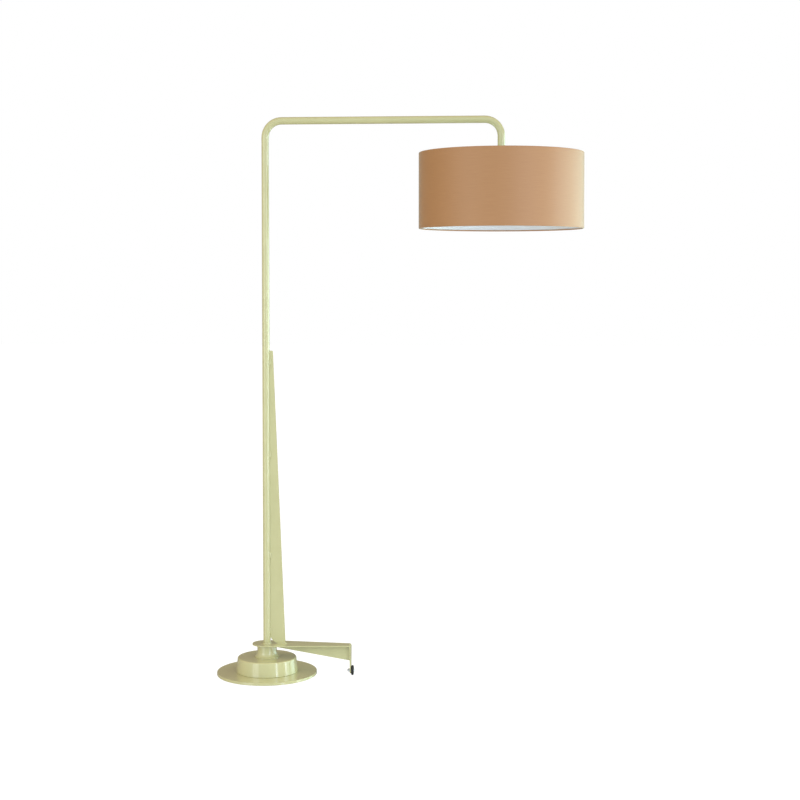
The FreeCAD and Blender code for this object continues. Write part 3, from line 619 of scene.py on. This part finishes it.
def studio_floor():
    """White floor paint under clear polish, so the softboxes' reflections run on down the base.

    The camera sees it evenly lit, as white as the wall behind.
    """
    paint = bpy.data.materials.new("pale_floor_paint")
    paint.use_nodes = True
    tree = paint.node_tree
    tree.nodes.clear()
    matt = add(tree, "BsdfDiffuse", {"Color": (0.2, 0.2, 0.2, 1)})
    lit = add(tree, "Emission", {"Color": (1, 1, 1, 1), "Strength": 0.95})
    even = add(tree, "AddShader", {}, [(0, matt, "BSDF"), (1, lit, "Emission")])
    pale = add(tree, "BsdfDiffuse", {"Color": (0.5, 0.5, 0.5, 1)})
    shine = add(tree, "BsdfGlossy", {"Color": (0.95, 0.95, 0.95, 1), "Roughness": 0.08})
    polished = add(tree, "MixShader", {0: 0.75}, [(1, pale, "BSDF"), (2, shine, "BSDF")])
    ray = add(tree, "LightPath")
    pick = add(tree, "MixShader", {}, [(0, ray, "Is Camera Ray"), (1, polished, "Shader"), (2, even, "Shader")])
    add(tree, "OutputMaterial", {}, [("Surface", pick, "Shader")])
    return paint


def studio_air():
    """Light from the room: white walls on the camera's side, a dimmer, warmer room behind the lamp.

    The camera sees plain white.
    """
    world = bpy.data.worlds.new("studio_air")
    world.use_nodes = True
    tree = world.node_tree
    tree.nodes.clear()
    toward = add(tree, "TexCoord")
    split = add(tree, "SeparateXYZ", {}, [("Vector", toward, "Generated")])
    depth = add(tree, "MapRange", {"From Min": -1.0, "From Max": 0.7}, [("Value", split, "Y")])
    air = add(tree, "ValToRGB", {}, [("Fac", depth, "Result")])
    air.color_ramp.elements[0].color = (0.89, 1.02, 1.11, 1)              # walls on the camera's side
    air.color_ramp.elements[1].color = (0.25, 0.21, 0.18, 1)              # behind the lamp
    air.color_ramp.elements.new(0.55).color = (0.92, 0.73, 0.56, 1)       # to left and right, and overhead
    ambient = add(tree, "Background", {"Strength": 1.15}, [("Color", air, "Color")])
    white = add(tree, "Background", {"Color": (1, 1, 1, 1), "Strength": 1.0})
    ray = add(tree, "LightPath")
    pick = add(tree, "MixShader", {}, [(0, ray, "Is Camera Ray"), (1, ambient, "Background"),
                                       (2, white, "Background")])
    add(tree, "OutputWorld", {}, [("Surface", pick, "Shader")])
    return world


def softbox(name, bearing, away, width, watts, colour, height=1.3, tall=2.6):
    """An upright area light on that bearing from the camera's direction, right being positive, facing the lamp."""
    angle = turn - math.pi / 2 + math.radians(bearing)
    target = Vector((0.45, 0, 1.1))
    place = Vector((target.x + away * math.cos(angle), away * math.sin(angle), height))
    data = bpy.data.lights.new(name, "AREA")
    data.shape = "RECTANGLE"
    data.size = width
    data.size_y = tall
    data.energy = watts
    data.color = colour
    light = bpy.data.objects.new(name, data)
    scene.collection.objects.link(light)
    light.location = place
    light.rotation_euler = (target - place).to_track_quat("-Z", "Y").to_euler()
    light.visible_camera = False


floor = begin(bpy.ops.mesh.primitive_plane_add, "floor", size=60, location=(0, 0, 0))
floor.data.materials.append(studio_floor())
scene.world = studio_air()
scene.view_settings.view_transform = "Standard"

# The strips give the gloss its narrow highlights, and the two boxes its broad ones.
softbox("left_softbox", bearing=-44, away=4.0, width=1.6, watts=34, colour=(0.97, 1.0, 1.03))
softbox("key_strip", bearing=36, away=4.0, width=0.5, watts=33, colour=(0.86, 1.0, 1.2))
softbox("side_strip", bearing=79, away=3.5, width=0.45, watts=28, colour=(0.86, 1.0, 1.2))
softbox("side_softbox", bearing=109, away=3.1, width=3.0, watts=84, colour=(0.68, 1.0, 0.98))
